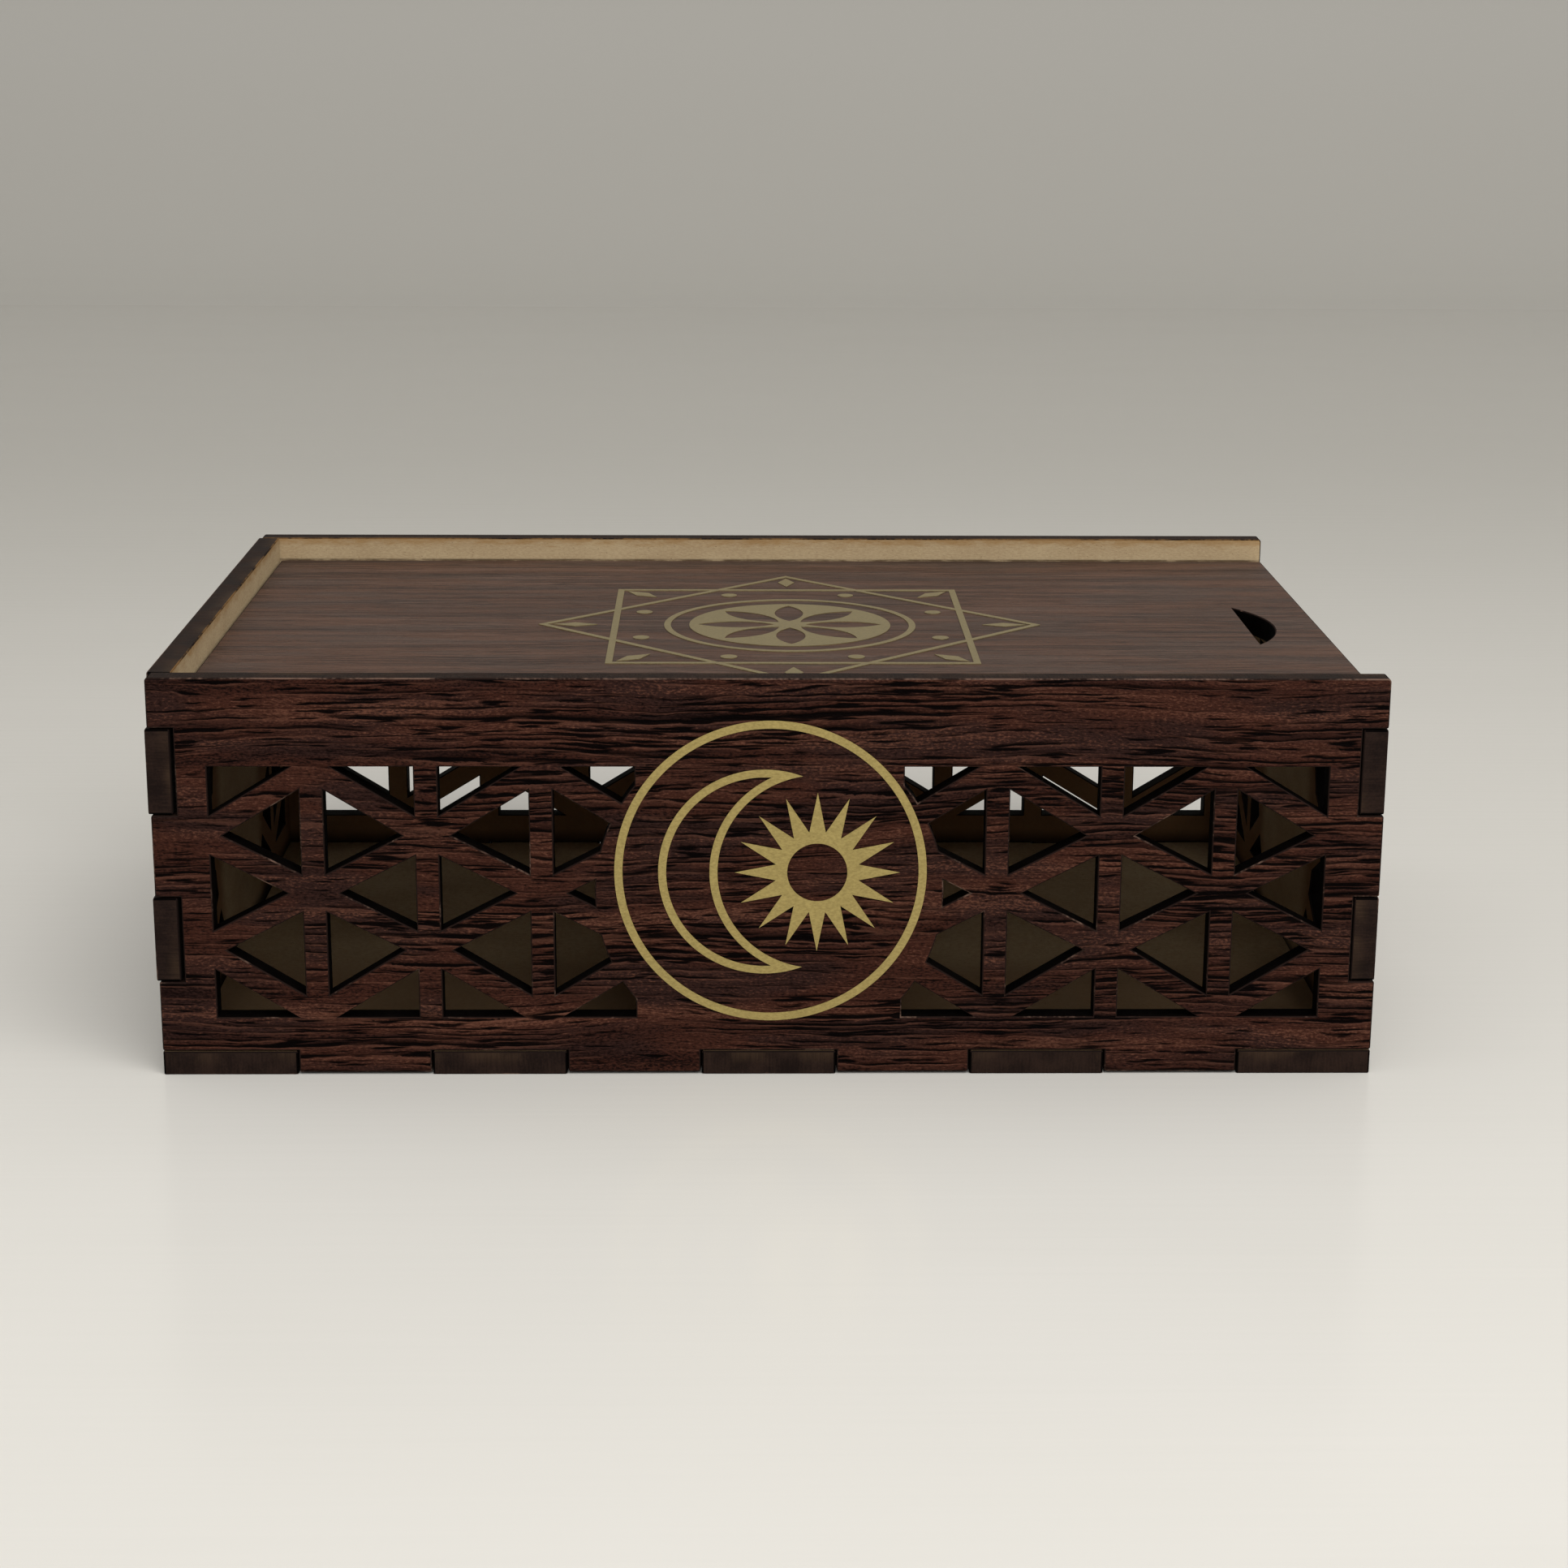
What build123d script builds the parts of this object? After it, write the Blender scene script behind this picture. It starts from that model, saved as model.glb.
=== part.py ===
from build123d import *
import math
import os

# Overall box, in millimetres: X along the front, Y to the back, Z up
box_length = 150.0
box_width = 96.0
box_height = 50.5
sheet = 3.0

# Finger joints between the boards
joint_gap = 0.15
finger_lift = 0.3
long_finger_count = 9
short_finger_count = 5
corner_finger_shares = (0.224, 0.483, 0.741, 1.0)
corner_round = 0.45
left_wall_proud = 0.3

# Sliding lid, its seat, the half-moon finger notch and how far notch and print sit off the middle
lid_recess = 3.35
lid_side_gap = 0.3
lid_stop_gap = 0.3
runner_width = 3.0
runner_height = 4.0
notch_width = 23.6
notch_depth = 3.75
notch_inset = 9.85
lid_mark_shift = -1.4

# Triangle lattice cut through the four walls
bottom_rail = 7.5
top_rail = 11.0
end_margin = 6.0
column_pitch = 13.9
bar_width = 2.95
inner_rise_share = 0.225
outer_rise_share = 0.492
hub_margin = 2.25
hub_band = 32.8

# Gold print on the front: ring, crescent outline and sun
foil = 0.1
emblem_lift = 2.7
emblem_shift = 0.15
ring_radius = 19.1
ring_line = 1.0
moon_radius = 13.0
moon_shift = -0.75
moon_bite_radius = 12.3
moon_bite_shift = 5.8
moon_line = 0.98
sun_shift = 5.7
sun_hole_radius = 3.68
sun_root_radius = 5.15
sun_tip_radius = 10.1
sun_ray_count = 16

# Gold print on the lid: pierced disc, ring, eight-pointed star and lozenges
lid_print_shift = 1.75
lid_disc_radius = 13.6
lid_disc_rim = 1.2
lid_petal_start = 2.1
lid_petal_width = 3.9
petal_count = 8
lid_ring_radius = 17.0
lid_ring_line = 0.9
lid_star_radius = 34.0
star_point_count = 8
lid_star_line = 0.9
lid_lozenge_length = 6.0
lid_lozenge_width = 2.4
lid_bead_radius = 1.1

# Places worked out from the sizes above
half_length = box_length / 2
half_width = box_width / 2
inner_half_length = half_length - sheet
inner_half_width = half_width - sheet
lid_top = box_height - lid_recess
lid_seat = lid_top - sheet
window_top = box_height - top_rail
window_height = window_top - bottom_rail
window_centre = (window_top + bottom_rail) / 2
hub_radius = ring_radius + hub_margin
emblem_centre = window_centre + emblem_lift
lid_start = -inner_half_length - left_wall_proud + lid_stop_gap
lid_length = half_length - lid_start
lid_width = 2 * (inner_half_width - lid_side_gap)
lid_print_centre = lid_start + lid_length / 2 + lid_print_shift
lid_petal_length = lid_disc_radius - lid_disc_rim - lid_petal_start
star_waist = lid_star_radius / math.sqrt(2)
star_notch = star_waist / math.cos(math.pi / star_point_count)
lozenge_reach = (star_waist + lid_star_radius) / 2
bead_reach = (lid_ring_radius + star_notch) / 2

# Heights where the corner fingers change from board to board, from the floor up to the lid seat
corner_steps = [sheet + share * (lid_seat - sheet) for share in corner_finger_shares]
side_tabs = [(corner_steps[0], corner_steps[1]), (corner_steps[2], corner_steps[3])]

# Planes of the boards: each board is drawn seen face-on and grows one sheet thick
front_plane = Plane(origin=(0, -inner_half_width, 0), x_dir=(1, 0, 0), z_dir=(0, -1, 0))
back_plane = Plane(origin=(0, half_width, 0), x_dir=(1, 0, 0), z_dir=(0, -1, 0))
left_plane = Plane(origin=(-half_length - left_wall_proud, 0, 0), x_dir=(0, 1, 0), z_dir=(1, 0, 0))
right_plane = Plane(origin=(inner_half_length, 0, 0), x_dir=(0, 1, 0), z_dir=(1, 0, 0))
front_face_plane = Plane(origin=(0, -half_width, 0), x_dir=(1, 0, 0), z_dir=(0, -1, 0))
lid_face_plane = Plane(origin=(lid_print_centre, lid_mark_shift, lid_top), x_dir=(1, 0, 0), z_dir=(0, 0, 1))


def span(left, right, low, high):
    """Rectangle between two places across and two places up."""
    return Pos((left + right) / 2, (low + high) / 2) * Rectangle(right - left, high - low)


def finger_spans(length, count, first):
    """Every second of count equal fingers along a centred edge, starting with the given one."""
    pitch = length / count
    starts = [-length / 2 + index * pitch for index in range(first, count, 2)]
    return [(start, start + pitch) for start in starts]


def floor_notches(length, count):
    """Room in a wall's lower edge for the floor's fingers."""
    ends = finger_spans(length, count, 0)
    return [span(left - joint_gap, right + joint_gap, 0, sheet + joint_gap) for left, right in ends]


# Lattice

def diagonal_bar(start, end):
    """Straight bar between two crossing points."""
    along = end - start
    angle = math.degrees(math.atan2(along.Y, along.X))
    return Pos((start + end) / 2) * Rot(0, 0, angle) * Rectangle(along.length, bar_width)


def zigzag_bars(columns, even_height, odd_height):
    """Bars from column to column, up and down between two heights."""
    crossings = []
    for column in range(-columns, columns + 1):
        height = odd_height if column % 2 else even_height
        crossings.append(Vector(column * column_pitch, height))
    return [diagonal_bar(start, end) for start, end in zip(crossings, crossings[1:])]


def lattice_openings(board_length):
    """Openings left between the bars, the round hub and the frame of one wall."""
    columns = int((board_length / 2 - end_margin + bar_width / 2) / column_pitch)
    half_window = columns * column_pitch - bar_width / 2
    window = span(-half_window, half_window, bottom_rail, window_top)
    upright = Pos(0, window_centre) * Rectangle(bar_width, window_height)
    solid = [Pos(column * column_pitch, 0) * upright for column in range(1 - columns, columns)]
    for side in (1, -1):
        inner_height = window_centre + side * inner_rise_share * window_height
        outer_height = window_centre + side * outer_rise_share * window_height
        solid += zigzag_bars(columns, window_centre, inner_height)
        solid += zigzag_bars(columns, outer_height, inner_height)
    solid.append(Pos(0, window_centre) * Circle(hub_radius))
    solid.append(Pos(0, window_centre) * Rectangle(hub_band, window_height))
    return window - solid


# Boards

def long_wall(plane):
    """Front or back wall: holds the corners above the lid seat."""
    board = span(-half_length, half_length, finger_lift, box_height)
    board = fillet(board.vertices().sort_by(Axis.Y)[-2:], corner_round)
    board -= floor_notches(box_length, long_finger_count)
    room_start = inner_half_length - joint_gap
    for low, high in side_tabs:
        room_low = low - joint_gap
        room_high = high + joint_gap
        board -= span(-half_length, -room_start, room_low, room_high)
        board -= span(room_start, half_length, room_low, room_high)
    board -= lattice_openings(box_length)
    return extrude(plane * board, sheet)


def end_wall(plane, top):
    """Left or right wall: its tabs reach through the long walls."""
    board = span(-inner_half_width, inner_half_width, finger_lift, top)
    for low, high in side_tabs:
        board += span(-half_width, half_width, low, high)
    board -= floor_notches(box_width, short_finger_count)
    board -= lattice_openings(box_width)
    return extrude(plane * board, sheet)


def make_floor_panel():
    """Bottom board with a finger at every corner."""
    board = Rectangle(box_length, box_width)
    for left, right in finger_spans(box_length, long_finger_count, 1):
        board -= span(left, right, inner_half_width, half_width)
        board -= span(left, right, -half_width, -inner_half_width)
    for low, high in finger_spans(box_width, short_finger_count, 1):
        board -= span(inner_half_length, half_length, low, high)
        board -= span(-half_length, -inner_half_length, low, high)
    return extrude(board, sheet)


def make_lid_runner(side):
    """Ledge strip glued inside a long wall, level with the top of the right wall."""
    middle = side * (inner_half_width - runner_width / 2)
    strip = Pos(0, middle, lid_seat - runner_height) * Rectangle(2 * inner_half_length, runner_width)
    return extrude(strip, runner_height)


def make_lid_panel():
    """Sliding lid with its half-moon finger notch."""
    board = Pos(lid_start + lid_length / 2, 0) * Rectangle(lid_length, lid_width)
    notch_x = half_length - notch_inset
    low_tip = (notch_x, lid_mark_shift - notch_width / 2)
    high_tip = (notch_x, lid_mark_shift + notch_width / 2)
    arc = ThreePointArc(low_tip, (notch_x + notch_depth, lid_mark_shift), high_tip)
    board -= make_face(arc + Line(high_tip, low_tip))
    return extrude(Pos(0, 0, lid_seat) * board, sheet)


# Gold print on the front

def front_foil(shape):
    """Thin foil on the front wall's outer face, drawn round the emblem's centre."""
    return extrude(front_face_plane * Pos(emblem_shift, emblem_centre) * shape, foil)


def make_front_ring():
    return front_foil(Circle(ring_radius) - Circle(ring_radius - ring_line))


def make_front_moon():
    """Crescent drawn as an outline of even width."""
    disc = Pos(moon_shift, 0) * Circle(moon_radius)
    bite = Pos(moon_bite_shift, 0) * Circle(moon_bite_radius)
    inner_disc = Pos(moon_shift, 0) * Circle(moon_radius - moon_line)
    wider_bite = Pos(moon_bite_shift, 0) * Circle(moon_bite_radius + moon_line)
    return front_foil((disc - bite) - (inner_disc - wider_bite))


def make_front_sun():
    """Ring with slender pointed rays."""
    points = []
    for index in range(2 * sun_ray_count):
        reach = sun_root_radius if index % 2 else sun_tip_radius
        angle = math.pi * index / sun_ray_count
        points.append((reach * math.cos(angle), reach * math.sin(angle)))
    star = make_face(Polyline(points, close=True)) - Circle(sun_hole_radius)
    return front_foil(Pos(sun_shift, 0) * star)


# Gold print on the lid

def lid_foil(shape):
    """Thin foil on the lid's top face, drawn round the print's centre."""
    return extrude(lid_face_plane * shape, foil)


def lozenge(length, width):
    """Slim four-sided diamond along X."""
    tips = [(-length / 2, 0), (0, -width / 2), (length / 2, 0), (0, width / 2)]
    return make_face(Polyline(tips, close=True))


def petal(length, width):
    """Pointed leaf between two arcs, from the origin along X."""
    low = ThreePointArc((0, 0), (length / 2, -width / 2), (length, 0))
    high = ThreePointArc((length, 0), (length / 2, width / 2), (0, 0))
    return make_face(low + high)


def around(shape, reach, count, offset_share=0):
    """Copies of a shape on a circle, each turned to point outwards."""
    step = 360 / count
    turns = [(index + offset_share) * step for index in range(count)]
    return [Rot(0, 0, turn) * Pos(reach, 0) * shape for turn in turns]


def make_lid_disc():
    """Gold disc with a pierced rosette."""
    leaf = petal(lid_petal_length, lid_petal_width)
    return lid_foil(Circle(lid_disc_radius) - around(leaf, lid_petal_start, petal_count))


def make_lid_ring():
    return lid_foil(Circle(lid_ring_radius) - Circle(lid_ring_radius - lid_ring_line))


def make_lid_star():
    """Two crossed square outlines."""
    outer_side = 2 * star_waist
    inner_side = outer_side - 2 * lid_star_line
    outline = Rectangle(outer_side, outer_side) - Rectangle(inner_side, inner_side)
    return lid_foil(outline + Rot(0, 0, 360 / star_point_count) * outline)


def make_lid_lozenges():
    """Lozenges in the star's points and beads between them, all inside the star."""
    diamonds = around(lozenge(lid_lozenge_length, lid_lozenge_width), lozenge_reach, star_point_count)
    beads = around(Circle(lid_bead_radius), bead_reach, star_point_count, 1 / 2)
    return lid_foil(Sketch() + diamonds + beads)


nodes = {
    "floor_panel": make_floor_panel(),
    "front_wall": long_wall(front_plane),
    "back_wall": long_wall(back_plane),
    "left_wall": end_wall(left_plane, box_height),
    "right_wall": end_wall(right_plane, lid_seat),
    "front_lid_runner": make_lid_runner(-1),
    "back_lid_runner": make_lid_runner(1),
    "lid_panel": make_lid_panel(),
    "front_ring_foil": make_front_ring(),
    "front_moon_foil": make_front_moon(),
    "front_sun_foil": make_front_sun(),
    "lid_disc_foil": make_lid_disc(),
    "lid_ring_foil": make_lid_ring(),
    "lid_star_foil": make_lid_star(),
    "lid_lozenge_foil": make_lid_lozenges(),
}

os.makedirs("parts", exist_ok=True)
for name, solid in nodes.items():
    export_step(solid, f"parts/{name}.step")
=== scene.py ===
import math

import bmesh
import bpy
from mathutils import Matrix, Vector


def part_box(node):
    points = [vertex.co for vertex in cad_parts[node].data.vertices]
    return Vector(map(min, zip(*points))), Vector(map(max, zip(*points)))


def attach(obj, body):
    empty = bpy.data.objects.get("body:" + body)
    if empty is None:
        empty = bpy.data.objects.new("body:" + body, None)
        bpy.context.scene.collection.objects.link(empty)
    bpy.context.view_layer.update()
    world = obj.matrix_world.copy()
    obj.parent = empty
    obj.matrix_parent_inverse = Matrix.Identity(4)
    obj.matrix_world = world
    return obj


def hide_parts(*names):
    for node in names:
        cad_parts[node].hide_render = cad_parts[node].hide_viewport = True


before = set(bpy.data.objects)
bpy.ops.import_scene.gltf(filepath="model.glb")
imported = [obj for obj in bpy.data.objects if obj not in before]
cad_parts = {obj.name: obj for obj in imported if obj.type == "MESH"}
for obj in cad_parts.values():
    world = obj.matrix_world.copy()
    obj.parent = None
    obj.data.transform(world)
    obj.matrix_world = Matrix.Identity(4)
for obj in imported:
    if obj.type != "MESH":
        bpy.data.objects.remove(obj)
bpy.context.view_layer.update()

# Units and axes
MM = 0.001
PER_MM = 1.0 / MM
X, Y, Z = 0, 1, 2

# Boards: which way the veneered face looks, which axes run along and across its grain, and a grain seed
BOARDS = {
    "front_wall": {"body": "box", "out": (0, -1, 0), "grain": X, "across": Z, "seed": 12},
    "back_wall": {"body": "box", "out": (0, 1, 0), "grain": X, "across": Z, "seed": 37},
    "left_wall": {"body": "box", "out": (-1, 0, 0), "grain": Y, "across": Z, "seed": 74},
    "right_wall": {"body": "box", "out": (1, 0, 0), "grain": Y, "across": Z, "seed": 111},
    "floor_panel": {"body": "box", "out": (0, 0, -1), "grain": X, "across": Y, "seed": 148},
    "lid_panel": {"body": "lid", "out": (0, 0, 1), "grain": X, "across": Y, "seed": 185},
}
RUNNERS = {
    "front_lid_runner": {"body": "box", "out": (0, 1, 0)},
    "back_lid_runner": {"body": "box", "out": (0, -1, 0)},
}
FOILS = [
    "front_ring_foil",
    "front_moon_foil",
    "front_sun_foil",
    "lid_disc_foil",
    "lid_ring_foil",
    "lid_star_foil",
    "lid_lozenge_foil",
]

# Edge work on the boards, in metres
ARRIS_WIDTH = 0.16 * MM
ARRIS_STEPS = 2
CORNER_RADIUS = 0.25 * MM
CORNER_STEPS = 3
CORNER_ANGLE = math.radians(60)
MITRE_LIMIT = 2.0
WELD = 0.001 * MM
FLAT_ANGLE = math.radians(0.5)
RIM_DEPTH = 4 * MM

# Face sorts, in the order of a board's material slots
SKIN, BACK, RIM, INNER_CUT, WORN, SINGED = range(6)
FLAT_SHARE = 0.98

# Camera, matched to the box's edges
CAMERA_PLACE = (-0.00465, -0.40053, 0.13202)
CAMERA_YAW = math.radians(1.037)
CAMERA_PITCH = math.radians(15.026)
CAMERA_ROLL = math.radians(0.288)
CAMERA_LENS = 69.108
CAMERA_SENSOR = 36.0
CAMERA_NEAR = 0.01


def srgb(red, green, blue):
    """A colour written in the usual 0 to 255 steps, as linear light."""
    linear = []
    for step in (red, green, blue):
        share = step / 255
        if share <= 0.04045:
            linear.append(share / 12.92)
        else:
            linear.append(((share + 0.055) / 1.055) ** 2.4)
    return (*linear, 1.0)


# Middle of a noise that goes from 0 to 1
CLOUD_MIDDLE = 0.5


class Shader:
    """A node material, with short calls that add nodes to it."""

    def __init__(self, name):
        self.material = bpy.data.materials.new(name)
        self.material.use_nodes = True
        tree = self.material.node_tree
        self.nodes = tree.nodes
        self.links = tree.links
        self.surface = tree.nodes["Principled BSDF"]

    def node(self, kind, **settings):
        """A new node with some of its settings."""
        made = self.nodes.new(kind)
        for name, value in settings.items():
            setattr(made, name, value)
        return made

    def feed(self, socket, value):
        """Links a node's output to a socket, or writes a constant on it."""
        if isinstance(value, bpy.types.NodeSocket):
            self.links.new(value, socket)
        else:
            socket.default_value = value

    def finish(self, **sockets):
        """Feeds the surface, with underscores for the spaces in its socket names."""
        for name, value in sockets.items():
            self.feed(self.surface.inputs[name.replace("_", " ")], value)
        return self.material

    def place(self):
        """The point on the piece in millimetres of the part's frame."""
        made = self.node("ShaderNodeVectorMath", operation="SCALE")
        self.feed(made.inputs[0], self.node("ShaderNodeTexCoord").outputs["Object"])
        made.inputs["Scale"].default_value = PER_MM
        return made.outputs[0]

    def split(self, vector):
        """The three numbers of a vector."""
        made = self.node("ShaderNodeSeparateXYZ")
        self.feed(made.inputs[0], vector)
        return made.outputs

    def join(self, x, y, z):
        """A vector of three numbers."""
        made = self.node("ShaderNodeCombineXYZ")
        for socket, value in zip(made.inputs, (x, y, z)):
            self.feed(socket, value)
        return made.outputs[0]

    def math(self, operation, first, second=0.0):
        """One sum or comparison of two values."""
        made = self.node("ShaderNodeMath", operation=operation)
        self.feed(made.inputs[0], first)
        self.feed(made.inputs[1], second)
        return made.outputs[0]

    def times(self, first, *others):
        """The product of values."""
        product = first
        for value in others:
            product = self.math("MULTIPLY", product, value)
        return product

    def blend(self, first, *others):
        """The sum of pairs of a cloud and its weight."""
        total = self.times(*first)
        for cloud, weight in others:
            total = self.math("ADD", total, self.times(cloud, weight))
        return total

    def sway(self, base, cloud, swing):
        """A base value that a cloud swings up and down."""
        off_middle = self.math("SUBTRACT", cloud, CLOUD_MIDDLE)
        return self.math("ADD", base, self.times(off_middle, swing))

    def noise(self, point, size, detail=2.0, roughness=0.5):
        """Cloudy noise from 0 to 1, whose lumps are as large as size says along each axis."""
        made = self.node("ShaderNodeVectorMath", operation="MULTIPLY")
        self.feed(made.inputs[0], point)
        made.inputs[1].default_value = [1 / length for length in size]
        cloud = self.node("ShaderNodeTexNoise")
        self.feed(cloud.inputs["Vector"], made.outputs[0])
        cloud.inputs["Scale"].default_value = 1.0
        cloud.inputs["Detail"].default_value = detail
        cloud.inputs["Roughness"].default_value = roughness
        return cloud.outputs["Fac"]

    def step(self, value, low, high):
        """0 below low, 1 above high and a soft rise between them."""
        made = self.node("ShaderNodeMapRange", interpolation_type="SMOOTHSTEP")
        self.feed(made.inputs["Value"], value)
        made.inputs["From Min"].default_value = low
        made.inputs["From Max"].default_value = high
        return made.outputs["Result"]

    def between(self, share, low, high):
        """A number that goes from low to high as share goes from 0 to 1."""
        made = self.node("ShaderNodeMapRange")
        self.feed(made.inputs["Value"], share)
        made.inputs["To Min"].default_value = low
        made.inputs["To Max"].default_value = high
        return made.outputs["Result"]

    def mix(self, share, first, second):
        """The first colour where share is 0, the second where it is 1."""
        made = self.node("ShaderNodeMix", data_type="RGBA")
        colours = [socket for socket in made.inputs if socket.type == "RGBA"]
        self.feed(made.inputs[0], share)
        self.feed(colours[0], first)
        self.feed(colours[1], second)
        return [socket for socket in made.outputs if socket.type == "RGBA"][0]

    def bump(self, height, depth):
        """A surface whose relief is depth metres where height goes from 0 to 1."""
        made = self.node("ShaderNodeBump")
        self.feed(made.inputs["Height"], height)
        made.inputs["Distance"].default_value = depth
        return made.outputs["Normal"]


# Walnut veneer print: brown, with long black pores along the grain and a leathery emboss
WALL_LOOK = {
    "dark": srgb(21, 10, 8),
    "red": srgb(58, 32, 24),
    "brown": srgb(45, 28, 24),
    "light": srgb(97, 62, 48),
    "pore": srgb(3, 1, 1),
    "pore_share": 0.98,
    "lip_light_share": 0.36,
    "relief": 0.17 * MM,
    "shine": 0.02,
}
# The lid's copy of the same veneer, lighter, greyer and lower in contrast: painted sheen of the backdrop
# at the lid's grazing view
LID_LOOK_PAINTED_SHEEN = {
    "dark": srgb(50, 37, 32),
    "red": srgb(83, 59, 47),
    "brown": srgb(75, 59, 51),
    "light": srgb(104, 80, 68),
    "pore": srgb(40, 30, 26),
    "pore_share": 0.55,
    "lip_light_share": 0.2,
    "relief": 0.03 * MM,
    "shine": 0.1,
}

# Waves of the grain: size along and across it in millimetres, detail, and how far they push it
GRAIN_WAVES = [
    ((46, 12, 1), 1, 3.0),
    ((8, 3, 1), 2, 0.8),
    ((1.4, 0.8, 1), 1, 0.14),
]

# Cloudy layers of the veneer: size along and across the grain in millimetres, and roughness
GRAIN_CLOUDS = {
    "bands": ((60, 3.2, 1), 0.5),
    "hue": ((22, 5, 1), 0.5),
    "fibres": ((1.5, 0.14, 1), 0.6),
    "granules": ((0.5, 0.22, 1), 0.6),
    "ripples": ((2.4, 0.34, 1), 0.5),
    "crowd": ((42, 7, 1), 0.5),
}

# Ground tone: how far the layers swing it, and where it turns brown, dark and light
FIBRE_SWING = 0.3
GRANULE_SWING = 1.1
RIPPLE_SWING = 0.4
BROWN_RISE = (0.42, 0.62)
DARK_RISE = (0.52, 0.16)
LIGHT_RISE = (0.52, 0.92)

# Long tapered strokes: spacing and run in millimetres, thin and thick half widths in shares of the spacing
LONG_PORES = {"spacing": 1.1, "run": 12.0, "thin": -0.62, "thick": 0.66}
SHADOW_BANDS = {"spacing": 3.1, "run": 24.0, "thin": -0.45, "thick": 0.5}
STROKE_MIDDLE = 0.5
WIDEST_STROKE = 0.16
STROKE_SWAY = 2.6
SWAY_RUNS = 4.0
SWAY_SPACINGS = 2.4
TAPER_SPACINGS = 0.8
CROWD_SPREAD = (-0.6, 0.64)
GRANULE_SPREAD = (-0.12, 0.12)

# Long pores: black where deep, with a painted highlight on the lip below and painted shade on the lip
# above, as if lit from above
LONG_PORE_RISE = (-0.02, 0.05)
LONG_GROOVE_RISE = (-0.14, 0.08)
PORE_DEPTH_SIZE = (9, 1.3, 1)
PORE_DEPTH_RISE = (0.14, 0.5)
LIP_RISE = (-0.34, 0.0)
LIP_HIGHLIGHT_RISE = (0.0, -0.06)
LIP_SHADE_RISE = (0.0, 0.06)
SHADOW_RISE = (-0.08, 0.2)
SHADOW_SHARE = 0.65

# Short pores between the long ones
SHORT_PORE_SIZE = (6.2, 0.48, 1)
SHORT_PORE_CROWD = (-0.2, 0.2)
SHORT_PORE_RISE = (0.575, 0.665)
SHORT_GROOVE_RISE = (0.52, 0.66)

# Emboss: how high each layer stands, with the grooves one unit deep
GRANULE_HEIGHT = 0.9
FIBRE_HEIGHT = 0.35
RIPPLE_HEIGHT = 0.7
VENEER_ROUGHNESS = (0.38, 0.6)


def grain_point(shader, grain, across, seed):
    """A point with x along the grain, y across it and bent into waves, and a seed as z."""
    axes = shader.split(shader.place())
    flat = shader.join(axes[grain], axes[across], seed)
    bent = axes[across]
    for size, detail, push in GRAIN_WAVES:
        bent = shader.sway(bent, shader.noise(flat, size, detail), push)
    return shader.join(axes[grain], bent, seed)


def strokes(shader, point, kind, spread):
    """How far the point lies above a long tapered stroke's middle, and how far inside the stroke."""
    run = kind["run"]
    spacing = kind["spacing"]
    sway = shader.noise(point, (SWAY_RUNS * run, SWAY_SPACINGS * spacing, 1), detail=1)
    across = shader.math("DIVIDE", shader.split(point)[Y], spacing)
    phase = shader.math("ADD", across, shader.times(sway, STROKE_SWAY))
    above = shader.math("SUBTRACT", shader.math("FRACT", phase), STROKE_MIDDLE)
    taper = shader.noise(point, (run, TAPER_SPACINGS * spacing, 1))
    width = shader.math("ADD", shader.between(taper, kind["thin"], kind["thick"]), spread)
    width = shader.math("MINIMUM", width, WIDEST_STROKE)
    return above, shader.math("SUBTRACT", width, shader.math("ABSOLUTE", above))


def grain_clouds(shader, point):
    """The veneer's cloudy layers by name."""
    clouds = {}
    for name, (size, roughness) in GRAIN_CLOUDS.items():
        clouds[name] = shader.noise(point, size, roughness=roughness)
    return clouds


def grain_pores(shader, point, clouds):
    """Place above and inside the long pores, inside the shadow bands, and strength of the short pores."""
    crowded = shader.between(clouds["crowd"], *CROWD_SPREAD)
    spread = shader.math("ADD", crowded, shader.between(clouds["granules"], *GRANULE_SPREAD))
    above, inside = strokes(shader, point, LONG_PORES, spread)
    _, shadow = strokes(shader, point, SHADOW_BANDS, spread)
    short = shader.noise(point, SHORT_PORE_SIZE, detail=1)
    short = shader.math("ADD", short, shader.between(clouds["crowd"], *SHORT_PORE_CROWD))
    return {"above": above, "inside": inside, "shadow": shadow, "short": short}


def ground_colour(shader, clouds, look):
    """The veneer's colour between its pores."""
    tone = shader.sway(clouds["bands"], clouds["fibres"], FIBRE_SWING)
    tone = shader.sway(tone, clouds["granules"], GRANULE_SWING)
    tone = shader.sway(tone, clouds["ripples"], RIPPLE_SWING)
    colour = shader.mix(shader.step(clouds["hue"], *BROWN_RISE), look["red"], look["brown"])
    colour = shader.mix(shader.step(tone, *DARK_RISE), colour, look["dark"])
    return shader.mix(shader.step(tone, *LIGHT_RISE), colour, look["light"])


def pored_colour(shader, point, ground, pores, look):
    """The ground colour with shadow bands, painted highlight and shade on the long pores' lips, and the
    black pores.
    """
    shadow = shader.times(shader.step(pores["shadow"], *SHADOW_RISE), SHADOW_SHARE)
    colour = shader.mix(shadow, ground, look["dark"])
    # Painted light: a highlight on each long pore's lower lip and shade on its upper lip
    lip = shader.times(shader.step(pores["inside"], *LIP_RISE), look["lip_light_share"])
    lip_highlight = shader.times(lip, shader.step(pores["above"], *LIP_HIGHLIGHT_RISE))
    colour = shader.mix(lip_highlight, colour, look["light"])
    lip_shade = shader.times(lip, shader.step(pores["above"], *LIP_SHADE_RISE))
    colour = shader.mix(lip_shade, colour, look["dark"])
    depth = shader.step(shader.noise(point, PORE_DEPTH_SIZE, detail=1), *PORE_DEPTH_RISE)
    long_pore = shader.times(shader.step(pores["inside"], *LONG_PORE_RISE), depth)
    pore = shader.math("MAXIMUM", long_pore, shader.step(pores["short"], *SHORT_PORE_RISE))
    return shader.mix(shader.times(pore, look["pore_share"]), colour, look["pore"])


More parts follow.
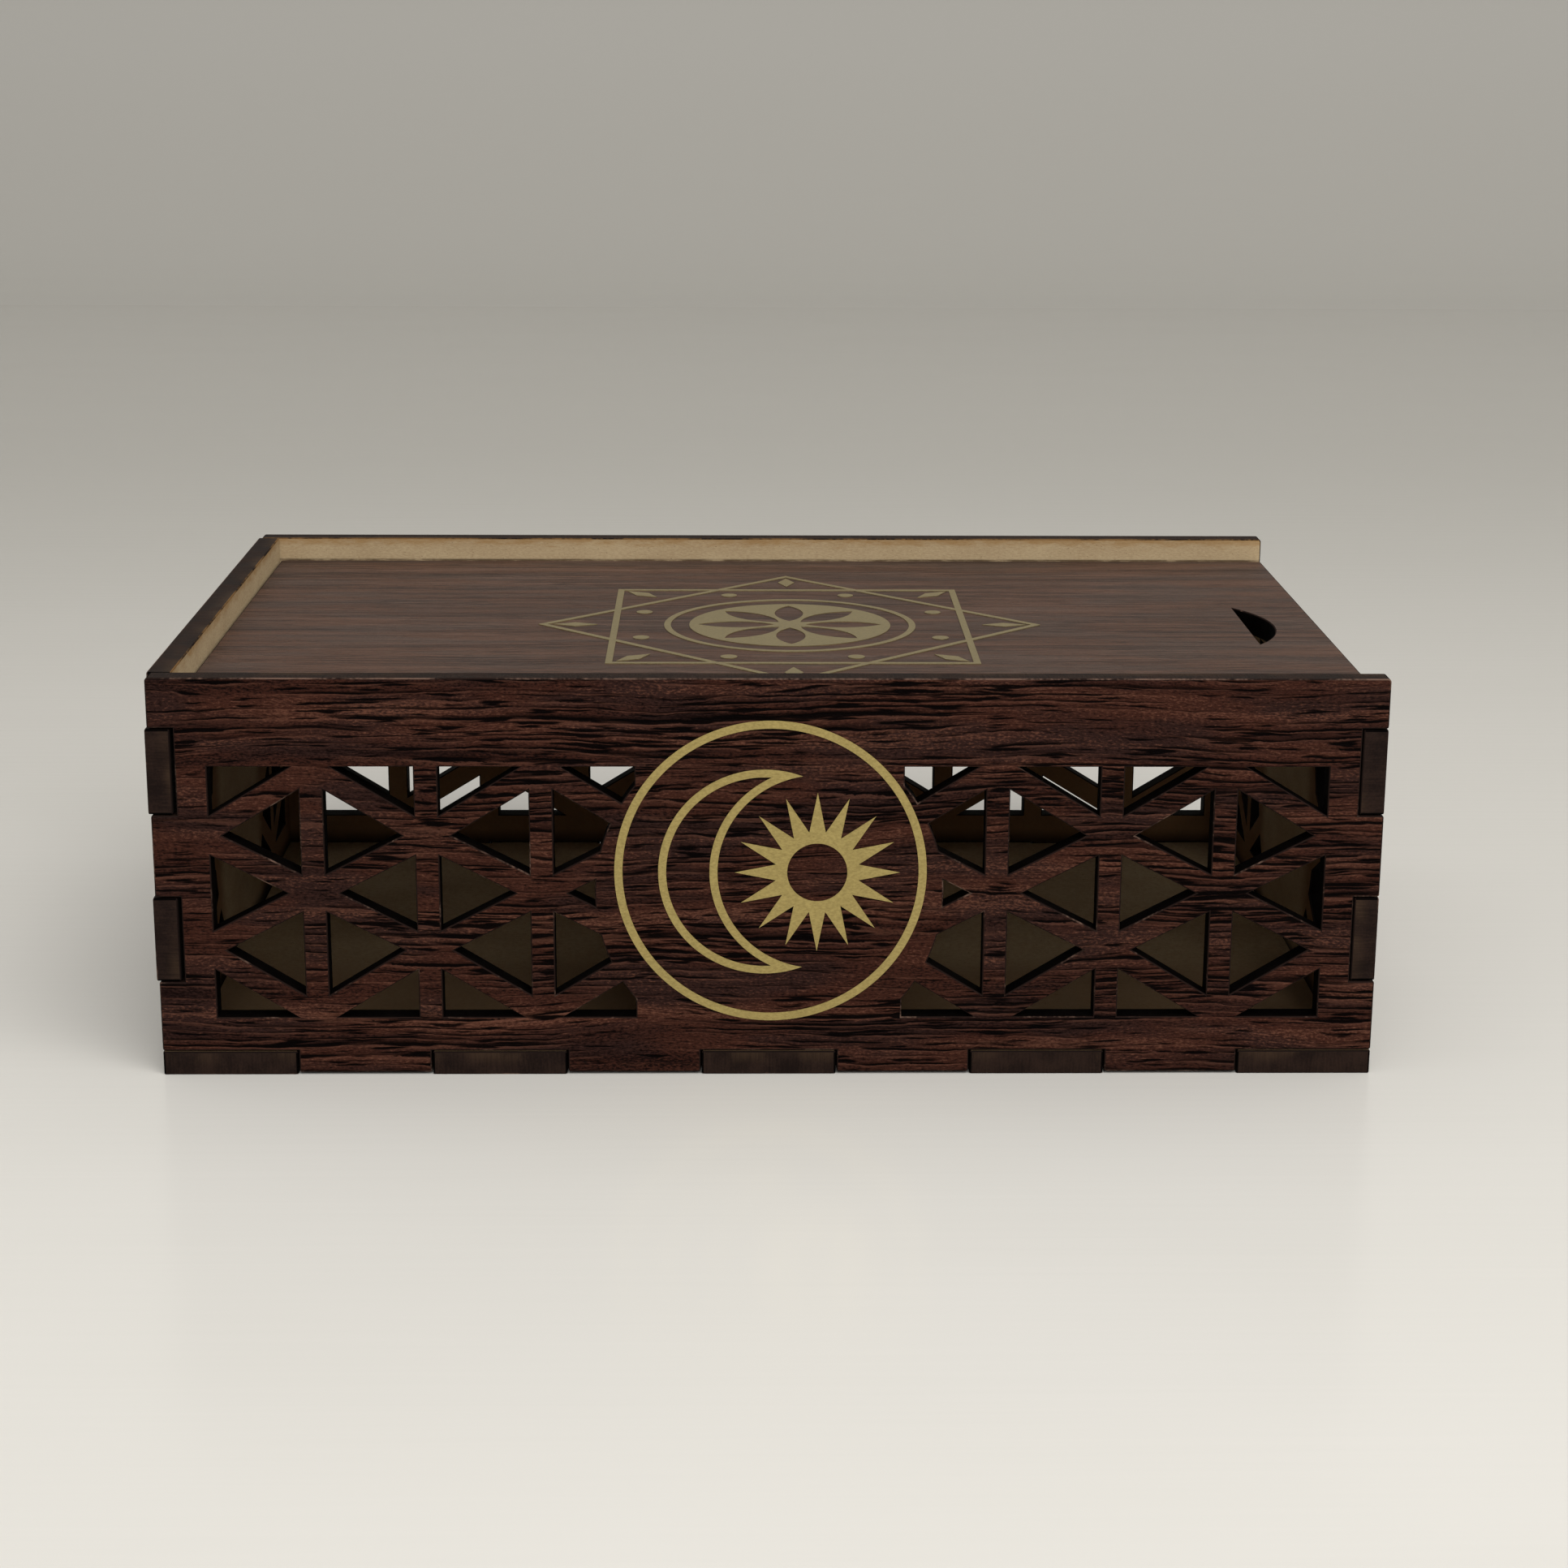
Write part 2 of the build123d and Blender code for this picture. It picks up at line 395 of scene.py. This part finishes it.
def emboss(shader, clouds, pores):
    """Height of the leathery relief, with a groove along each pore."""
    swell = shader.blend(
        (clouds["granules"], GRANULE_HEIGHT),
        (clouds["fibres"], FIBRE_HEIGHT),
        (clouds["ripples"], RIPPLE_HEIGHT),
    )
    long_groove = shader.step(pores["inside"], *LONG_GROOVE_RISE)
    short_groove = shader.step(pores["short"], *SHORT_GROOVE_RISE)
    return shader.math("SUBTRACT", swell, shader.math("MAXIMUM", long_groove, short_groove))


def veneer(name, grain, across, seed, look):
    """Veneered side of one board."""
    shader = Shader(name)
    point = grain_point(shader, grain, across, seed)
    clouds = grain_clouds(shader, point)
    pores = grain_pores(shader, point, clouds)
    ground = ground_colour(shader, clouds, look)
    return shader.finish(
        Base_Color=pored_colour(shader, point, ground, pores, look),
        Roughness=shader.between(clouds["granules"], *VENEER_ROUGHNESS),
        Specular_IOR_Level=look["shine"],
        Normal=shader.bump(emboss(shader, clouds, pores), look["relief"]),
    )


# Bare fibreboard: tan with fine flecks
BARE_LIGHT = srgb(188, 166, 130)
BARE_DARK = srgb(170, 146, 112)
BARE_FLECK = srgb(112, 86, 58)
BARE_RISE = (0.34, 0.66)
BARE_CLOUD_SIZE = (9, 9, 4)
BARE_CLOUD_WEIGHT = 0.35
BARE_FIBRE_SIZE = (0.6, 0.6, 0.22)
BARE_FIBRE_WEIGHT = 0.65
FLECK_SIZE = (0.42, 0.42, 0.24)
FLECK_RISE = (0.7, 0.77)
FLECK_SHARE = 0.55
BARE_ROUGHNESS = (0.75, 0.95)
BARE_SHINE = 0.1
BARE_RELIEF = 0.04 * MM

# Marks on the walls' bare side, with ragged borders: amber below the top edge
PATCH_SIZE = (3.5, 3.5, 0.9)
RAGGED = (-1.6, 1.6)
BARE_AMBER = srgb(150, 112, 62)
AMBER_DEPTH = 1.6
AMBER_TOP = 0.2
AMBER_SHARE = 0.7

# Darker brown on the walls' bare side below the runners, round the openings, which keeps off each wall's
# solid middle
BARE_LOW_BROWN = srgb(120, 78, 42)
LOW_BROWN_SHARE = 0.74
LOW_BROWN_FADE = 3.0
LOW_BROWN_OFF_MIDDLE = (13.0, 19.0)

# Painted shade along the line where the lid slides, at the foot of the walls and in the corner joints
BARE_LID_GAP_SHADE = srgb(70, 52, 36)
LID_GAP_SHADE_FADE = (0.35, 0.08)
LID_GAP_SHADE_PATCHES = (0.2, 0.6)
LID_GAP_SHADE_SHARE = 0.85
BARE_PAINTED_SHADE = srgb(20, 14, 10)
FOOT_SHADE_HEIGHT = 2.6
FOOT_SHADE_SHARE = 0.85
JOINT_FADE = 0.2

# Painted shade: the floor's upper side darker and browner towards the front, where light comes in through
# the front openings
FLOOR_FRONT_SHADE = srgb(112, 84, 56)
FRONT_SHADE_SHARE = 0.72
FRONT_SHADE_RISE = (-4.0, -22.0)


def fibre_colour(shader, point):
    """Tan board colour, and the fibres that make it."""
    clouds = shader.noise(point, BARE_CLOUD_SIZE)
    fibres = shader.noise(point, BARE_FIBRE_SIZE, detail=3, roughness=0.7)
    flecks = shader.noise(point, FLECK_SIZE, detail=1)
    tone = shader.blend((clouds, BARE_CLOUD_WEIGHT), (fibres, BARE_FIBRE_WEIGHT))
    colour = shader.mix(shader.step(tone, *BARE_RISE), BARE_DARK, BARE_LIGHT)
    fleck_share = shader.times(shader.step(flecks, *FLECK_RISE), FLECK_SHARE)
    return shader.mix(fleck_share, colour, BARE_FLECK), fibres


def finish_bare(shader, colour, fibres):
    """Bare board of the given colour."""
    return shader.finish(
        Base_Color=colour,
        Roughness=shader.between(fibres, *BARE_ROUGHNESS),
        Specular_IOR_Level=BARE_SHINE,
        Normal=shader.bump(fibres, BARE_RELIEF),
    )


def low_brown_share(shader, axes, height, ragged):
    """How much darker brown lies on the walls' bare side, below the runners and off the middle."""
    runner_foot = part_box("back_lid_runner")[0].z * PER_MM
    along_end = shader.math("ABSOLUTE", axes[Y])
    off_middle = shader.math("MINIMUM", shader.math("ABSOLUTE", axes[X]), along_end)
    off_middle = shader.math("ADD", off_middle, ragged)
    return shader.times(
        shader.step(height, runner_foot, runner_foot - LOW_BROWN_FADE),
        LOW_BROWN_SHARE,
        shader.step(off_middle, *LOW_BROWN_OFF_MIDDLE),
    )


def lid_gap_shade_share(shader, axes, patches, joint):
    """How much painted shade of the lid's gap lies on the long walls along the lid's upper side."""
    lid_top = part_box("lid_panel")[1].z * PER_MM
    off_lid = shader.math("ABSOLUTE", shader.math("SUBTRACT", axes[Z], lid_top))
    off_centre = shader.math("ABSOLUTE", axes[Y])
    return shader.times(
        shader.step(off_lid, *LID_GAP_SHADE_FADE),
        shader.step(patches, *LID_GAP_SHADE_PATCHES),
        shader.step(off_centre, joint - JOINT_FADE, joint - JOINT_FADE / 2),
        LID_GAP_SHADE_SHARE,
    )


def bare_wall():
    """Bare side of the walls, runners and lid, black with painted shade where it lies inside a corner
    joint.
    """
    shader = Shader("bare_wall")
    point = shader.place()
    axes = shader.split(point)
    colour, fibres = fibre_colour(shader, point)
    patches = shader.noise(point, PATCH_SIZE, detail=3, roughness=0.65)
    ragged = shader.between(patches, *RAGGED)
    height = shader.math("ADD", axes[Z], ragged)
    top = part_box("back_wall")[1].z * PER_MM
    floor_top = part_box("floor_panel")[1].z * PER_MM
    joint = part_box("back_lid_runner")[1].y * PER_MM

    amber = shader.times(shader.step(height, top - AMBER_DEPTH, top + AMBER_TOP), AMBER_SHARE)
    colour = shader.mix(amber, colour, BARE_AMBER)
    # Darker brown below the runners, away from each wall's middle
    colour = shader.mix(low_brown_share(shader, axes, height, ragged), colour, BARE_LOW_BROWN)
    # Painted shade along the lid's gap
    colour = shader.mix(lid_gap_shade_share(shader, axes, patches, joint), colour, BARE_LID_GAP_SHADE)
    # Painted shade at the foot of the walls
    foot = shader.times(shader.step(axes[Z], floor_top + FOOT_SHADE_HEIGHT, floor_top), FOOT_SHADE_SHARE)
    colour = shader.mix(foot, colour, BARE_PAINTED_SHADE)
    # Painted shade where the bare side runs into a corner joint
    off_centre = shader.math("ABSOLUTE", axes[Y])
    jointed = shader.step(off_centre, joint + JOINT_FADE / 4, joint + JOINT_FADE)
    return finish_bare(shader, shader.mix(jointed, colour, BARE_PAINTED_SHADE), fibres)


def bare_floor():
    """Bare upper side of the floor, with painted shade that makes it darker and browner towards the front.
    """
    shader = Shader("bare_floor")
    point = shader.place()
    colour, fibres = fibre_colour(shader, point)
    # Painted shade towards the front
    front_shade = shader.step(shader.split(point)[Y], *FRONT_SHADE_RISE)
    colour = shader.mix(shader.times(front_shade, FRONT_SHADE_SHARE), colour, FLOOR_FRONT_SHADE)
    return finish_bare(shader, colour, fibres)


# Cut edges: shared cloud size and gloss
EDGE_CLOUD_SIZE = (4, 4, 4)
EDGE_PATCH_SIZE = (7, 7, 7)
EDGE_SHINE = 0.06

# Outer rims: dark brown, with fine lines through the sheet
RIM_DARK = srgb(23, 14, 11)
RIM_LIGHT = srgb(42, 29, 23)
RIM_RISE = (0.36, 0.64)
RIM_LINE_WIDTH = 0.22
RIM_LINE_RUN = 2.6
RIM_GRIT_SIZE = (0.3, 0.3, 0.3)
RIM_CLOUD_WEIGHT = 0.5
RIM_LINE_WEIGHT = 0.25
RIM_GRIT_WEIGHT = 0.25
RIM_ROUGHNESS = (0.45, 0.7)
RIM_RELIEF = 0.05 * MM

# Browner patches of the rims, from a share of the thickness to the bare side
RIM_BROWN = srgb(70, 53, 38)
BROWN_START = 0.3
BROWN_PATCHES = (0.44, 0.66)
BROWN_LINES = (0.1, 0.8)

# Openings: charred nearly black
CUT_DARK = srgb(2, 1, 1)
CUT_LIGHT = srgb(9, 6, 5)
CUT_RISE = (0.34, 0.68)
CUT_SOOT_SIZE = (0.35, 0.35, 0.35)
CUT_CLOUD_WEIGHT = 0.55
CUT_SOOT_WEIGHT = 0.45
CUT_ROUGHNESS = (0.6, 0.85)
CUT_SHINE = 0.02
CUT_RELIEF = 0.04 * MM


def burnt_rim(name, outward):
    """Cut edge with fine lines through the sheet, browner towards the bare side."""
    shader = Shader(name + "_rim")
    point = shader.place()
    through = [abs(share) > FLAT_SHARE for share in outward].index(True)
    low, high = (corner[through] * PER_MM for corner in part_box(name))
    outer, inner = (high, low) if outward[through] > 0 else (low, high)
    line_size = [RIM_LINE_WIDTH] * 3
    line_size[through] = RIM_LINE_RUN
    clouds = shader.noise(point, EDGE_CLOUD_SIZE)
    lines = shader.noise(point, line_size, roughness=0.6)
    grit = shader.noise(point, RIM_GRIT_SIZE)
    patches = shader.noise(point, EDGE_PATCH_SIZE)

    tone = shader.blend((clouds, RIM_CLOUD_WEIGHT), (lines, RIM_LINE_WEIGHT), (grit, RIM_GRIT_WEIGHT))
    colour = shader.mix(shader.step(tone, *RIM_RISE), RIM_DARK, RIM_LIGHT)
    brown = shader.times(
        shader.step(shader.split(point)[through], outer + BROWN_START * (inner - outer), inner),
        shader.step(patches, *BROWN_PATCHES),
        shader.between(lines, *BROWN_LINES),
    )
    return shader.finish(
        Base_Color=shader.mix(brown, colour, RIM_BROWN),
        Roughness=shader.between(clouds, *RIM_ROUGHNESS),
        Specular_IOR_Level=EDGE_SHINE,
        Normal=shader.bump(lines, RIM_RELIEF),
    )


def burnt_cut():
    """Charred inner faces of the openings."""
    shader = Shader("burnt_cut")
    point = shader.place()
    clouds = shader.noise(point, EDGE_CLOUD_SIZE)
    soot = shader.noise(point, CUT_SOOT_SIZE, detail=3, roughness=0.7)
    tone = shader.blend((clouds, CUT_CLOUD_WEIGHT), (soot, CUT_SOOT_WEIGHT))
    return shader.finish(
        Base_Color=shader.mix(shader.step(tone, *CUT_RISE), CUT_DARK, CUT_LIGHT),
        Roughness=shader.between(clouds, *CUT_ROUGHNESS),
        Specular_IOR_Level=CUT_SHINE,
        Normal=shader.bump(soot, CUT_RELIEF),
    )


# Arrises: the veneer's rubbed rim, and the edge of the bare side, amber along the top
WORN_ARRIS = {
    "dark": srgb(30, 19, 15),
    "pale": srgb(100, 78, 66),
    "pale_rise": (0.54, 0.68),
    "top_gain": 0.1,
}
SINGED_ARRIS = {
    "dark": RIM_DARK,
    "pale": srgb(112, 83, 50),
    "pale_rise": (0.72, 0.9),
    "top_gain": 0.3,
}
ARRIS_GRIT_SIZE = (0.5, 0.5, 0.5)
ARRIS_PATCH_WEIGHT = 0.75
ARRIS_GRIT_WEIGHT = 0.25
ARRIS_ROUGHNESS = (0.6, 0.85)
ARRIS_RELIEF = 0.03 * MM
TOP_DEPTH = 1.0


def patchy_arris(name, look):
    """Narrow facet with pale patches, more of them along the top of the box."""
    shader = Shader(name)
    point = shader.place()
    patches = shader.noise(point, EDGE_PATCH_SIZE, detail=4, roughness=0.6)
    grit = shader.noise(point, ARRIS_GRIT_SIZE)
    tone = shader.blend((patches, ARRIS_PATCH_WEIGHT), (grit, ARRIS_GRIT_WEIGHT))
    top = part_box("back_wall")[1].z * PER_MM
    raised = shader.step(shader.split(point)[Z], top - 2 * TOP_DEPTH, top - TOP_DEPTH)
    tone = shader.math("ADD", tone, shader.times(raised, look["top_gain"]))
    return shader.finish(
        Base_Color=shader.mix(shader.step(tone, *look["pale_rise"]), look["dark"], look["pale"]),
        Roughness=shader.between(grit, *ARRIS_ROUGHNESS),
        Specular_IOR_Level=EDGE_SHINE,
        Normal=shader.bump(grit, ARRIS_RELIEF),
    )


# Gold print: dull metal over the veneer's leathery relief
WALL_GOLD = (srgb(152, 134, 82), srgb(190, 170, 108))
# The lid's gold is a greyer copy of the same print: painted haze of the backdrop at the lid's grazing view
LID_GOLD_PAINTED_HAZE = (srgb(146, 132, 94), srgb(176, 160, 117))
GOLD_RISE = (0.12, 0.84)
GOLD_GRAIN_SIZE = (0.42, 0.3, 0.22)
GOLD_GRAIN_WEIGHT = 0.85
GOLD_CLOUD_SIZE = (6, 6, 6)
GOLD_CLOUD_WEIGHT = 0.15
GOLD_METAL = 0.9
GOLD_ROUGHNESS = (0.38, 0.5)
GOLD_RELIEF = 0.02 * MM


def gold_print(name, dark, light):
    """Grainy gold that goes from a dark to a light tone."""
    shader = Shader(name)
    point = shader.place()
    grain = shader.noise(point, GOLD_GRAIN_SIZE, roughness=0.6)
    clouds = shader.noise(point, GOLD_CLOUD_SIZE)
    tone = shader.blend((grain, GOLD_GRAIN_WEIGHT), (clouds, GOLD_CLOUD_WEIGHT))
    return shader.finish(
        Base_Color=shader.mix(shader.step(tone, *GOLD_RISE), dark, light),
        Metallic=GOLD_METAL,
        Roughness=shader.between(grain, *GOLD_ROUGHNESS),
        Normal=shader.bump(grain, GOLD_RELIEF),
    )


# Boards, built again from the outline of their veneered face
def outline_loops(name, outward):
    """Closed loops of points round a board's veneered face, with the material on their left."""
    work = bmesh.new()
    work.from_mesh(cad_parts[name].data)
    bmesh.ops.remove_doubles(work, verts=work.verts, dist=WELD)
    bmesh.ops.dissolve_limit(work, angle_limit=FLAT_ANGLE, verts=work.verts, edges=work.edges)
    following = {}
    for face in work.faces:
        if face.normal.dot(outward) < FLAT_SHARE:
            continue
        for loop in face.loops:
            beside = loop.link_loop_radial_next.face
            if beside.normal.dot(outward) < FLAT_SHARE:
                following[loop.vert.index] = (loop.vert.co.copy(), loop.link_loop_next.vert.index)
    work.free()
    loops = []
    while following:
        index = next(iter(following))
        points = []
        while index in following:
            point, index = following.pop(index)
            points.append(point)
        loops.append(points)
    return loops


def neighbours(points):
    """Each point of a closed loop with the directions in which the loop comes and goes on."""
    count = len(points)
    for index, point in enumerate(points):
        coming = (point - points[index - 1]).normalized()
        going = (points[(index + 1) % count] - point).normalized()
        yield point, coming, going


def rim_depth(point, outward, low, high):
    """How far a point lies from the nearest side of a board's box, seen face-on."""
    in_plane = [axis for axis in (X, Y, Z) if abs(outward[axis]) < FLAT_SHARE]
    return min(min(point[axis] - low[axis], high[axis] - point[axis]) for axis in in_plane)


def rounded_loop(points, outward, low, high):
    """The loop with an arc in place of each square outer corner of the board."""
    rounded = []
    for point, coming, going in neighbours(points):
        turn = coming.angle(going)
        outer = coming.cross(going).dot(outward) > 0 and rim_depth(point, outward, low, high) < RIM_DEPTH
        if turn < CORNER_ANGLE or not outer:
            rounded.append(point)
            continue
        start = point - coming * CORNER_RADIUS * math.tan(turn / 2)
        centre = start + outward.cross(coming) * CORNER_RADIUS
        for step in range(CORNER_STEPS + 1):
            swing = Matrix.Rotation(turn * step / CORNER_STEPS, 3, outward)
            rounded.append(centre + swing @ (start - centre))
    return rounded


def mitres(points, outward):
    """For each point of a loop, the move that shifts the loop by one length into the material."""
    moves = []
    for _, coming, going in neighbours(points):
        inward = outward.cross(coming)
        middle = (inward + outward.cross(going)).normalized()
        moves.append(middle * min(1 / max(middle.dot(inward), 1 / MITRE_LIMIT), MITRE_LIMIT))
    return moves


def arris_rings(thickness):
    """Inset and depth of each ring round a board, from the veneered face to the bare one."""
    quarter = [math.radians(90) * step / ARRIS_STEPS for step in range(ARRIS_STEPS + 1)]
    front = [(ARRIS_WIDTH * (1 - math.sin(a)), ARRIS_WIDTH * (1 - math.cos(a))) for a in quarter]
    back = [(inset, thickness - depth) for inset, depth in reversed(front)]
    return front + back


def side_sort(start, end, outward, low, high):
    """Whether a side face is a plain outer rim, or an opening or a rounded corner."""
    square = max(abs(share) for share in (end - start).normalized()) > FLAT_SHARE
    shallow = rim_depth((start + end) / 2, outward, low, high) < RIM_DEPTH
    return RIM if square and shallow else INNER_CUT


def close_faces(work, outward, sort):
    """Fills the flat face of a board that looks outward, leaving its openings."""
    reach = max(vertex.co.dot(outward) for vertex in work.verts)
    rim = [edge for edge in work.edges if edge.is_boundary]
    rim = [edge for edge in rim if min(vertex.co.dot(outward) for vertex in edge.verts) > reach - WELD]
    filled = bmesh.ops.triangle_fill(work, use_beauty=True, edges=rim, normal=outward)
    faces = [piece for piece in filled["geom"] if isinstance(piece, bmesh.types.BMFace)]
    for face in faces:
        face.normal_update()
        face.material_index = sort
        if face.normal.dot(outward) < 0:
            face.normal_flip()


def add_sides(work, points, rings, outward, low, high):
    """Side faces from ring to ring along one loop, sorted by finish."""
    for level, (upper, lower) in enumerate(zip(rings, rings[1:])):
        for index, point in enumerate(points):
            after = (index + 1) % len(points)
            side = work.faces.new((upper[index], lower[index], lower[after], upper[after]))
            if level < ARRIS_STEPS:
                side.material_index = WORN
            elif level > ARRIS_STEPS:
                side.material_index = SINGED
            else:
                side.material_index = side_sort(point, points[after], outward, low, high)


def dressed_board(name, outward):
    """The board again, with rounded corners and softened arrises, its faces sorted by finish."""
    low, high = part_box(name)
    sections = arris_rings(abs((high - low).dot(outward)))
    work = bmesh.new()
    for points in outline_loops(name, outward):
        points = rounded_loop(points, outward, low, high)
        moves = mitres(points, outward)
        rings = []
        for inset, depth in sections:
            places = [point + move * inset - outward * depth for point, move in zip(points, moves)]
            rings.append([work.verts.new(place) for place in places])
        add_sides(work, points, rings, outward, low, high)
    close_faces(work, outward, SKIN)
    close_faces(work, -outward, BACK)
    mesh = bpy.data.meshes.new(name + "_mesh")
    work.to_mesh(mesh)
    work.free()
    return mesh


def add_board(name, body, outward, materials):
    """Puts a dressed board in place of its plain solid."""
    piece = bpy.data.objects.new(name + "_dressed", dressed_board(name, Vector(outward)))
    bpy.context.scene.collection.objects.link(piece)
    for material in materials:
        piece.data.materials.append(material)
    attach(piece, body)
    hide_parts(name)


def add_boards():
    """The six boards and the two lid runners."""
    wall_bare = bare_wall()
    floor_bare = bare_floor()
    cut = burnt_cut()
    worn = patchy_arris("worn_arris", WORN_ARRIS)
    singed = patchy_arris("singed_arris", SINGED_ARRIS)
    for name, board in BOARDS.items():
        # The lid's veneer carries painted sheen in its colours
        look = LID_LOOK_PAINTED_SHEEN if board["body"] == "lid" else WALL_LOOK
        skin = veneer(name + "_veneer", board["grain"], board["across"], board["seed"], look)
        bare = floor_bare if name == "floor_panel" else wall_bare
        rim = burnt_rim(name, board["out"])
        materials = [skin, bare, rim, cut, worn, singed]
        add_board(name, board["body"], board["out"], materials)
    for name, runner in RUNNERS.items():
        rim = burnt_rim(name, runner["out"])
        materials = [wall_bare, wall_bare, rim, rim, singed, singed]
        add_board(name, runner["body"], runner["out"], materials)


def add_gold():
    """Gold on the printed shapes of the front and the lid."""
    wall_gold = gold_print("wall_gold_print", *WALL_GOLD)
    lid_gold_painted_haze = gold_print("lid_gold_print_painted_haze", *LID_GOLD_PAINTED_HAZE)
    for name in FOILS:
        # The lid's gold carries painted haze in its colours
        gold = lid_gold_painted_haze if name.startswith("lid") else wall_gold
        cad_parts[name].material_slots[0].material = gold


# Studio: a wide painted floor and a backdrop that curves up from it
FLOOR_REACH = 12.0
SWEEP_HALF_WIDTH = 2.8
SWEEP_BACK = 0.85
SWEEP_RADIUS = 0.35
SWEEP_TOP = 1.6
SWEEP_STEPS = 24
SWEEP_PALE = srgb(226, 222, 214)
SWEEP_SHADE = srgb(220, 216, 207)
# Painted shade: the paint goes darker towards the back, where less light falls
SWEEP_FAR_SHADE = srgb(187, 183, 174)
FAR_SHADE_RISE = (-150.0, 500.0)
PAINT_CLOUD_SIZE = (90, 60, 60)
BRUSH_SIZE = (60, 1.6, 1.6)
PAINT_ROUGHNESS = (0.19, 0.23)
PAINT_SHINE = 0.22
BRUSH_RELIEF = 0.02 * MM


def painted_sweep():
    """Pale paint, with painted shade that makes it a little darker towards the back."""
    shader = Shader("pale_paint")
    point = shader.place()
    clouds = shader.noise(point, PAINT_CLOUD_SIZE)
    brush = shader.noise(point, BRUSH_SIZE)
    near_colour = shader.mix(clouds, SWEEP_SHADE, SWEEP_PALE)
    # Painted shade towards the back
    far_shade = shader.step(shader.split(point)[Y], *FAR_SHADE_RISE)
    return shader.finish(
        Base_Color=shader.mix(far_shade, near_colour, SWEEP_FAR_SHADE),
        Roughness=shader.between(clouds, *PAINT_ROUGHNESS),
        Specular_IOR_Level=PAINT_SHINE,
        Normal=shader.bump(brush, BRUSH_RELIEF),
    )


def sweep_profile():
    """The backdrop's section from the floor up, as points of y and z."""
    points = []
    for step in range(SWEEP_STEPS + 1):
        angle = math.radians(90) * step / SWEEP_STEPS
        run = SWEEP_BACK + SWEEP_RADIUS * math.sin(angle)
        rise = SWEEP_RADIUS * (1 - math.cos(angle))
        points.append((run, rise))
    points.append((SWEEP_BACK + SWEEP_RADIUS, SWEEP_TOP))
    return points


def add_sheet(name, half_width, profile, paint):
    """A stage surface that runs from side to side, with a profile of y and z."""
    work = bmesh.new()
    rows = []
    for run, rise in profile:
        left = work.verts.new((-half_width, run, rise))
        right = work.verts.new((half_width, run, rise))
        rows.append((left, right))
    for (a, b), (c, d) in zip(rows, rows[1:]):
        work.faces.new((a, b, d, c)).smooth = True
    mesh = bpy.data.meshes.new(name + "_mesh")
    work.to_mesh(mesh)
    work.free()
    mesh.materials.append(paint)
    sheet = bpy.data.objects.new(name, mesh)
    bpy.context.scene.collection.objects.link(sheet)


def add_stage():
    """The floor and the backdrop."""
    paint = painted_sweep()
    floor_profile = [(-FLOOR_REACH, 0.0), (FLOOR_REACH, 0.0)]
    add_sheet("studio_floor", FLOOR_REACH, floor_profile, paint)
    add_sheet("studio_backdrop", SWEEP_HALF_WIDTH, sweep_profile(), paint)


# Lamp above the front right, and a sky that is brighter overhead
KEY_PLACE = (0.34, -0.80, 0.97)
KEY_TARGET = (0.0, 0.0, 0.02)
KEY_SIZE = 1.2
KEY_POWER = 13.4
SKY_COLOUR = (0.97, 0.98, 1.0, 1.0)
SKY_LOW = 0.42
SKY_HIGH = 0.8


def add_lamp():
    """One broad lamp that looks at the box."""
    lamp = bpy.data.lights.new("key", "AREA")
    lamp.size = KEY_SIZE
    lamp.energy = KEY_POWER
    key = bpy.data.objects.new("key", lamp)
    key.location = KEY_PLACE
    aim = Vector(KEY_TARGET) - Vector(KEY_PLACE)
    key.rotation_euler = aim.to_track_quat("-Z", "Y").to_euler()
    bpy.context.scene.collection.objects.link(key)


def add_sky():
    """Soft light from all round."""
    sky = bpy.data.worlds.new("sky")
    sky.use_nodes = True
    nodes = sky.node_tree.nodes
    links = sky.node_tree.links
    glow = nodes["Background"]
    glow.inputs["Color"].default_value = SKY_COLOUR
    axes = nodes.new("ShaderNodeSeparateXYZ")
    links.new(nodes.new("ShaderNodeTexCoord").outputs["Generated"], axes.inputs[0])
    rise = nodes.new("ShaderNodeMapRange")
    rise.inputs["To Min"].default_value = SKY_LOW
    rise.inputs["To Max"].default_value = SKY_HIGH
    links.new(axes.outputs["Z"], rise.inputs["Value"])
    links.new(rise.outputs["Result"], glow.inputs["Strength"])
    bpy.context.scene.world = sky


def camera_axes():
    """The camera's right, up and back directions from its yaw, pitch and roll."""
    forward = Vector((
        math.sin(CAMERA_YAW) * math.cos(CAMERA_PITCH),
        math.cos(CAMERA_YAW) * math.cos(CAMERA_PITCH),
        -math.sin(CAMERA_PITCH),
    ))
    level = Vector((math.cos(CAMERA_YAW), -math.sin(CAMERA_YAW), 0))
    upright = level.cross(forward)
    right = level * math.cos(CAMERA_ROLL) + upright * math.sin(CAMERA_ROLL)
    up = upright * math.cos(CAMERA_ROLL) - level * math.sin(CAMERA_ROLL)
    return right, up, -forward


def add_camera():
    """The camera, at the place and turn given above."""
    lens = bpy.data.cameras.new("camera")
    lens.lens = CAMERA_LENS
    lens.sensor_width = CAMERA_SENSOR
    lens.clip_start = CAMERA_NEAR
    camera = bpy.data.objects.new("camera", lens)
    turn = Matrix(camera_axes()).transposed().to_4x4()
    camera.matrix_world = Matrix.Translation(CAMERA_PLACE) @ turn
    bpy.context.scene.collection.objects.link(camera)
    bpy.context.scene.camera = camera


add_boards()
add_gold()
add_stage()
add_lamp()
add_sky()
add_camera()
bpy.context.scene.view_settings.view_transform = "Standard"
